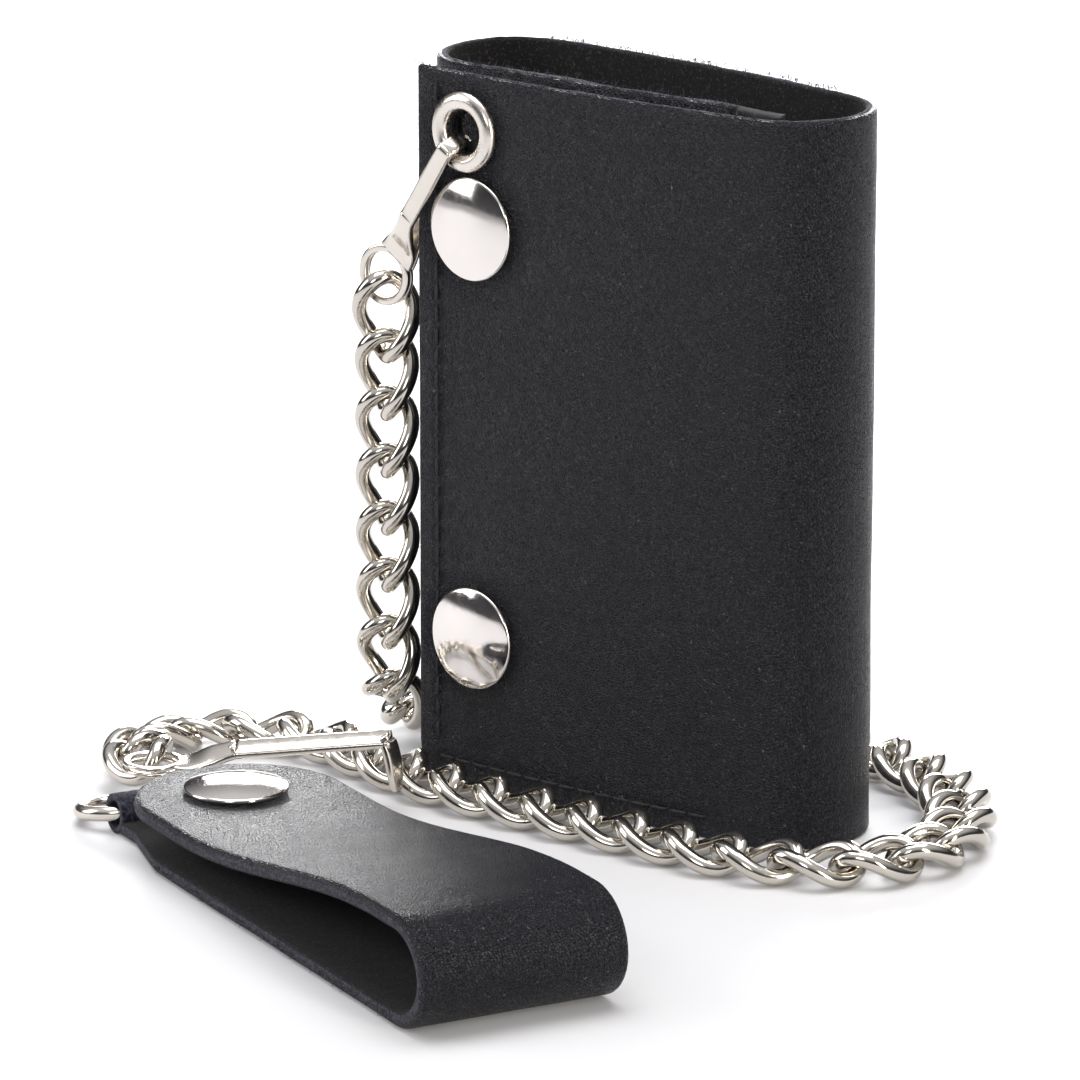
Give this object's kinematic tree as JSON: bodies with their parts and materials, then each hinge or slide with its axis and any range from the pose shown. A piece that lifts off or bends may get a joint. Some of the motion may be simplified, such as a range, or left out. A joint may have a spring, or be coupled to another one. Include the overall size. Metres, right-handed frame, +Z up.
{
  "type": "chain wallet",
  "caption": "Black tri-fold leather biker wallet standing closed, with snap flap, eyelet, sister-hook clips, curb chain and folded leather belt loop.",
  "frame": {"origin": "on the foot of the bill lining, at the middle of the closed wallet's base", "axes": "+Z up along the wallet's height, +X towards the main fold, +Y towards the back panel"},
  "size_m": [0.1307, 0.144, 0.106],
  "materials": {
    "black_leather": "satin, fine pebbled grain, raw cut edges",
    "lining_leather": "matt thin split leather",
    "chain_nickel": "polished nickel plate",
    "nickel": "polished nickel plate, slightly satin",
    "cap_nickel": "polished domed caps"
  },
  "bodies": {
    "wallet": {"back_panel": "black_leather", "bill_lining": "lining_leather", "card_pocket_low": "lining_leather", "card_pocket_high": "lining_leather", "main_fold": "black_leather", "left_fold": "black_leather"},
    "flap": {"front_flap": "black_leather", "flap_lining": "lining_leather", "flap_card_pocket": "lining_leather", "snap_caps": "cap_nickel", "snap_sockets": "nickel", "eyelet_barrel": "nickel", "eyelet_washer": "nickel"},
    "inner": {"inner_panel": "black_leather", "inner_lining": "lining_leather", "snap_studs": "nickel"},
    "clip_front": {"wallet_clip_front": "nickel"},
    "clip_rear": {"wallet_clip_rear": "nickel"},
    "chain_link_01": {"chain_link_01": "chain_nickel"},
    "chain_link_02": {"chain_link_02": "chain_nickel"},
    "chain_link_03": {"chain_link_03": "chain_nickel"},
    "chain_link_04": {"chain_link_04": "chain_nickel"},
    "chain_link_05": {"chain_link_05": "chain_nickel"},
    "chain_link_06": {"chain_link_06": "chain_nickel"},
    "chain_link_07": {"chain_link_07": "chain_nickel"},
    "chain_link_08": {"chain_link_08": "chain_nickel"},
    "chain_link_09": {"chain_link_09": "chain_nickel"},
    "chain_links_10_to_15": {"chain_links_10_to_15": "chain_nickel"},
    "chain_links_16_to_21": {"chain_links_16_to_21": "chain_nickel"},
    "chain_link_22": {"chain_link_22": "chain_nickel"},
    "chain_link_23": {"chain_link_23": "chain_nickel"},
    "chain_link_24": {"chain_link_24": "chain_nickel"},
    "chain_link_25": {"chain_link_25": "chain_nickel"},
    "chain_link_26": {"chain_link_26": "chain_nickel"},
    "chain_link_27": {"chain_link_27": "chain_nickel"},
    "chain_link_28": {"chain_link_28": "chain_nickel"},
    "chain_link_29": {"chain_link_29": "chain_nickel"},
    "chain_link_30": {"chain_link_30": "chain_nickel"},
    "chain_link_31": {"chain_link_31": "chain_nickel"},
    "chain_link_32": {"chain_link_32": "chain_nickel"},
    "chain_link_33": {"chain_link_33": "chain_nickel"},
    "chain_link_34": {"chain_link_34": "chain_nickel"},
    "chain_link_35": {"chain_link_35": "chain_nickel"},
    "chain_link_36": {"chain_link_36": "chain_nickel"},
    "chain_link_37": {"chain_link_37": "chain_nickel"},
    "chain_link_38": {"chain_link_38": "chain_nickel"},
    "chain_link_39": {"chain_link_39": "chain_nickel"},
    "chain_link_40": {"chain_link_40": "chain_nickel"},
    "chain_link_41": {"chain_link_41": "chain_nickel"},
    "chain_link_42": {"chain_link_42": "chain_nickel"},
    "chain_link_43": {"chain_link_43": "chain_nickel"},
    "belt_clip_upper": {"belt_clip_upper": "nickel"},
    "belt_clip_lower": {"belt_clip_lower": "nickel"},
    "belt_loop": {"loop_base": "black_leather", "loop_fold": "black_leather", "loop_stud": "nickel"},
    "tongue": {"loop_tongue": "black_leather", "loop_cap": "cap_nickel", "loop_socket": "nickel"},
    "ring": {"loop_ring": "nickel"}
  },
  "joints": [
    {"name": "flap_open", "type": "hinge", "parent": "wallet", "child": "flap", "pos_m": [0.022, 0.011, 0.053], "axis": [0, 0, 1], "range_deg": [0, 180], "deforming": ["main_fold", "chain_link_07", "chain_link_08", "chain_link_09", "chain_links_10_to_15", "chain_links_16_to_21", "chain_link_22", "chain_link_23", "chain_link_24", "chain_link_25", "chain_link_26", "chain_link_27", "chain_link_28", "chain_link_29", "chain_link_30", "chain_link_31", "chain_link_32", "chain_link_33", "chain_link_34", "chain_link_35", "chain_link_36", "chain_link_37", "chain_link_38", "chain_link_39", "chain_link_40", "chain_link_41", "chain_link_42", "chain_link_43"]},
    {"name": "inner_open", "type": "hinge", "parent": "wallet", "child": "inner", "pos_m": [-0.036, 0.0066, 0.053], "axis": [0, 0, 1], "range_deg": [-32.4, 0], "deforming": ["left_fold"]},
    {"name": "clip_swing", "type": "hinge", "parent": "flap", "child": "clip_front", "pos_m": [-0.0305, -0.0105, 0.0976], "axis": [0, 1, 0], "range_deg": [0, 25], "deforming": ["chain_link_07", "chain_link_08", "chain_link_09"]},
    {"name": "clip_jaw", "type": "hinge", "parent": "clip_front", "child": "clip_rear", "pos_m": [-0.048, -0.00685, 0.0735], "axis": [0, 1, 0], "range_deg": [0, 1.2]},
    {"name": "chain_link_01_swing", "type": "hinge", "parent": "clip_front", "child": "chain_link_01", "pos_m": [-0.048, -0.00685, 0.0715], "axis": [1, 0, 0], "range_deg": [-3, 3]},
    {"name": "chain_link_02_swing", "type": "hinge", "parent": "chain_link_01", "child": "chain_link_02", "pos_m": [-0.048, -0.00685, 0.0628], "axis": [-1, 0, 0], "range_deg": [-6, 6]},
    {"name": "chain_link_03_swing", "type": "hinge", "parent": "chain_link_02", "child": "chain_link_03", "pos_m": [-0.048, -0.00685, 0.0541], "axis": [1, 0, 0], "range_deg": [-6, 6]},
    {"name": "chain_link_04_swing", "type": "hinge", "parent": "chain_link_03", "child": "chain_link_04", "pos_m": [-0.048, -0.00685, 0.0454], "axis": [-1, 0, 0], "range_deg": [-6, 6]},
    {"name": "chain_link_05_swing", "type": "hinge", "parent": "chain_link_04", "child": "chain_link_05", "pos_m": [-0.048, -0.00685, 0.0367], "axis": [1, 0, 0], "range_deg": [-6, 6]},
    {"name": "chain_link_06_swing", "type": "hinge", "parent": "chain_link_05", "child": "chain_link_06", "pos_m": [-0.048, -0.00685, 0.028], "axis": [-1, 0, 0], "range_deg": [-6, 6]},
    {"name": "chain_link_07_turn", "type": "hinge", "parent": "wallet", "child": "chain_link_07", "pos_m": [-0.048, -0.00685, 0.0193], "axis": [0, 0, 1], "range_deg": [-1.5, 1.5]},
    {"name": "chain_link_08_turn", "type": "hinge", "parent": "chain_link_07", "child": "chain_link_08", "pos_m": [-0.04882, -0.00546, 0.01086], "axis": [0, 0, -1], "range_deg": [-3, 3]},
    {"name": "chain_link_09_turn", "type": "hinge", "parent": "chain_link_08", "child": "chain_link_09", "pos_m": [-0.05076, 0.00048, 0.00512], "axis": [0, 0, 1], "range_deg": [-3, 3]},
    {"name": "chain_links_10_to_15_turn", "type": "hinge", "parent": "wallet", "child": "chain_links_10_to_15", "pos_m": [-0.05274, 0.00868, 0.00314], "axis": [0, 0, 1], "range_deg": [-0.3, 0.3]},
    {"name": "chain_links_16_to_21_turn", "type": "hinge", "parent": "wallet", "child": "chain_links_16_to_21", "pos_m": [-0.01719, 0.03255, 0.0029], "axis": [0, 0, 1], "range_deg": [-0.3, 0.3]},
    {"name": "chain_link_22_turn", "type": "hinge", "parent": "wallet", "child": "chain_link_22", "pos_m": [0.03279, 0.02189, 0.0029], "axis": [0, 0, 1], "range_deg": [-1.5, 1.5]},
    {"name": "chain_link_23_turn", "type": "hinge", "parent": "chain_link_22", "child": "chain_link_23", "pos_m": [0.0391, 0.01592, 0.0029], "axis": [0, 0, -1], "range_deg": [-3, 3]},
    {"name": "chain_link_24_turn", "type": "hinge", "parent": "chain_link_23", "child": "chain_link_24", "pos_m": [0.04395, 0.00872, 0.0029], "axis": [0, 0, 1], "range_deg": [-3, 3]},
    {"name": "chain_link_25_turn", "type": "hinge", "parent": "wallet", "child": "chain_link_25", "pos_m": [0.04672, 0.00053, 0.0029], "axis": [0, 0, 1], "range_deg": [-1, 1]},
    {"name": "chain_link_26_turn", "type": "hinge", "parent": "wallet", "child": "chain_link_26", "pos_m": [0.04599, -0.00808, 0.0029], "axis": [0, 0, 1], "range_deg": [-1, 1]},
    {"name": "chain_link_27_turn", "type": "hinge", "parent": "wallet", "child": "chain_link_27", "pos_m": [0.04129, -0.01527, 0.0029], "axis": [0, 0, 1], "range_deg": [-1, 1]},
    {"name": "chain_link_28_turn", "type": "hinge", "parent": "wallet", "child": "chain_link_28", "pos_m": [0.03395, -0.01984, 0.0029], "axis": [0, 0, 1], "range_deg": [-1.5, 1.5]},
    {"name": "chain_link_29_turn", "type": "hinge", "parent": "chain_link_28", "child": "chain_link_29", "pos_m": [0.02552, -0.02185, 0.0029], "axis": [0, 0, -1], "range_deg": [-3, 3]},
    {"name": "chain_link_30_turn", "type": "hinge", "parent": "chain_link_29", "child": "chain_link_30", "pos_m": [0.01682, -0.02201, 0.0029], "axis": [0, 0, 1], "range_deg": [-3, 3]},
    {"name": "chain_link_31_turn", "type": "hinge", "parent": "wallet", "child": "chain_link_31", "pos_m": [0.00812, -0.02183, 0.0029], "axis": [0, 0, 1], "range_deg": [-1.5, 1.5]},
    {"name": "chain_link_32_turn", "type": "hinge", "parent": "chain_link_31", "child": "chain_link_32", "pos_m": [-0.00057, -0.02148, 0.0029], "axis": [0, 0, -1], "range_deg": [-3, 3]},
    {"name": "chain_link_33_turn", "type": "hinge", "parent": "chain_link_32", "child": "chain_link_33", "pos_m": [-0.00927, -0.02121, 0.0029], "axis": [0, 0, 1], "range_deg": [-3, 3]},
    {"name": "chain_link_34_turn", "type": "hinge", "parent": "wallet", "child": "chain_link_34", "pos_m": [-0.01796, -0.02081, 0.0029], "axis": [0, 0, 1], "range_deg": [-1.5, 1.5]},
    {"name": "chain_link_35_turn", "type": "hinge", "parent": "chain_link_34", "child": "chain_link_35", "pos_m": [-0.02663, -0.02018, 0.0029], "axis": [0, 0, -1], "range_deg": [-3, 3]},
    {"name": "chain_link_36_turn", "type": "hinge", "parent": "chain_link_35", "child": "chain_link_36", "pos_m": [-0.03516, -0.01852, 0.0029], "axis": [0, 0, 1], "range_deg": [-3, 3]},
    {"name": "chain_link_37_turn", "type": "hinge", "parent": "wallet", "child": "chain_link_37", "pos_m": [-0.04356, -0.01625, 0.0029], "axis": [0, 0, 1], "range_deg": [-1.5, 1.5]},
    {"name": "chain_link_38_turn", "type": "hinge", "parent": "chain_link_37", "child": "chain_link_38", "pos_m": [-0.05187, -0.01369, 0.0029], "axis": [0, 0, -1], "range_deg": [-3, 3]},
    {"name": "chain_link_39_turn", "type": "hinge", "parent": "chain_link_38", "child": "chain_link_39", "pos_m": [-0.06053, -0.01341, 0.0029], "axis": [0, 0, 1], "range_deg": [-3, 3]},
    {"name": "chain_link_40_turn", "type": "hinge", "parent": "wallet", "child": "chain_link_40", "pos_m": [-0.06838, -0.01693, 0.00287], "axis": [0, 0, 1], "range_deg": [-1, 1]},
    {"name": "chain_link_41_turn", "type": "hinge", "parent": "wallet", "child": "chain_link_41", "pos_m": [-0.07344, -0.02387, 0.00305], "axis": [0, 0, 1], "range_deg": [-1, 1]},
    {"name": "chain_link_42_turn", "type": "hinge", "parent": "wallet", "child": "chain_link_42", "pos_m": [-0.07411, -0.03238, 0.00363], "axis": [0, 0, 1], "range_deg": [-1, 1]},
    {"name": "chain_link_43_turn", "type": "hinge", "parent": "wallet", "child": "chain_link_43", "pos_m": [-0.07006, -0.03989, 0.00458], "axis": [0, 0, 1], "range_deg": [-1, 1]},
    {"name": "belt_clip_swivel", "type": "hinge", "parent": "chain_link_43", "child": "belt_clip_upper", "pos_m": [-0.06271, -0.04421, 0.00547], "axis": [0, 0, 1], "range_deg": [-1, 1]},
    {"name": "belt_clip_jaw", "type": "hinge", "parent": "belt_clip_upper", "child": "belt_clip_lower", "pos_m": [-0.061, -0.04522, 0.00567], "axis": [0, 0, 1], "range_deg": [0, 15]},
    {"name": "loop_slide", "type": "slide", "parent": "wallet", "child": "belt_loop", "axis": [-0.4147, -0.91, 0], "range_m": [0, 0.05]},
    {"name": "tongue_lift", "type": "hinge", "parent": "belt_loop", "child": "tongue", "pos_m": [0.03559, -0.08821, 0.008], "axis": [0.4147, 0.91, 0], "range_deg": [0, 100], "deforming": ["loop_fold"]},
    {"name": "ring_turn", "type": "hinge", "parent": "belt_loop", "child": "ring", "pos_m": [-0.0543, -0.05769, 0.003], "axis": [0.4147, 0.91, 0], "range_deg": [0, 8]}
  ],
  "couplings": [
    {"joint": "inner_open", "follows": "flap_open", "ratio": -0.18},
    {"joint": "chain_link_02_swing", "follows": "chain_link_01_swing", "ratio": 2},
    {"joint": "chain_link_03_swing", "follows": "chain_link_01_swing", "ratio": 2},
    {"joint": "chain_link_04_swing", "follows": "chain_link_01_swing", "ratio": 2},
    {"joint": "chain_link_05_swing", "follows": "chain_link_01_swing", "ratio": 2},
    {"joint": "chain_link_06_swing", "follows": "chain_link_01_swing", "ratio": 2},
    {"joint": "chain_link_08_turn", "follows": "chain_link_07_turn", "ratio": 2},
    {"joint": "chain_link_09_turn", "follows": "chain_link_07_turn", "ratio": 2},
    {"joint": "chain_link_23_turn", "follows": "chain_link_22_turn", "ratio": 2},
    {"joint": "chain_link_24_turn", "follows": "chain_link_22_turn", "ratio": 2},
    {"joint": "chain_link_29_turn", "follows": "chain_link_28_turn", "ratio": 2},
    {"joint": "chain_link_30_turn", "follows": "chain_link_28_turn", "ratio": 2},
    {"joint": "chain_link_32_turn", "follows": "chain_link_31_turn", "ratio": 2},
    {"joint": "chain_link_33_turn", "follows": "chain_link_31_turn", "ratio": 2},
    {"joint": "chain_link_35_turn", "follows": "chain_link_34_turn", "ratio": 2},
    {"joint": "chain_link_36_turn", "follows": "chain_link_34_turn", "ratio": 2},
    {"joint": "chain_link_38_turn", "follows": "chain_link_37_turn", "ratio": 2},
    {"joint": "chain_link_39_turn", "follows": "chain_link_37_turn", "ratio": 2}
  ]
}
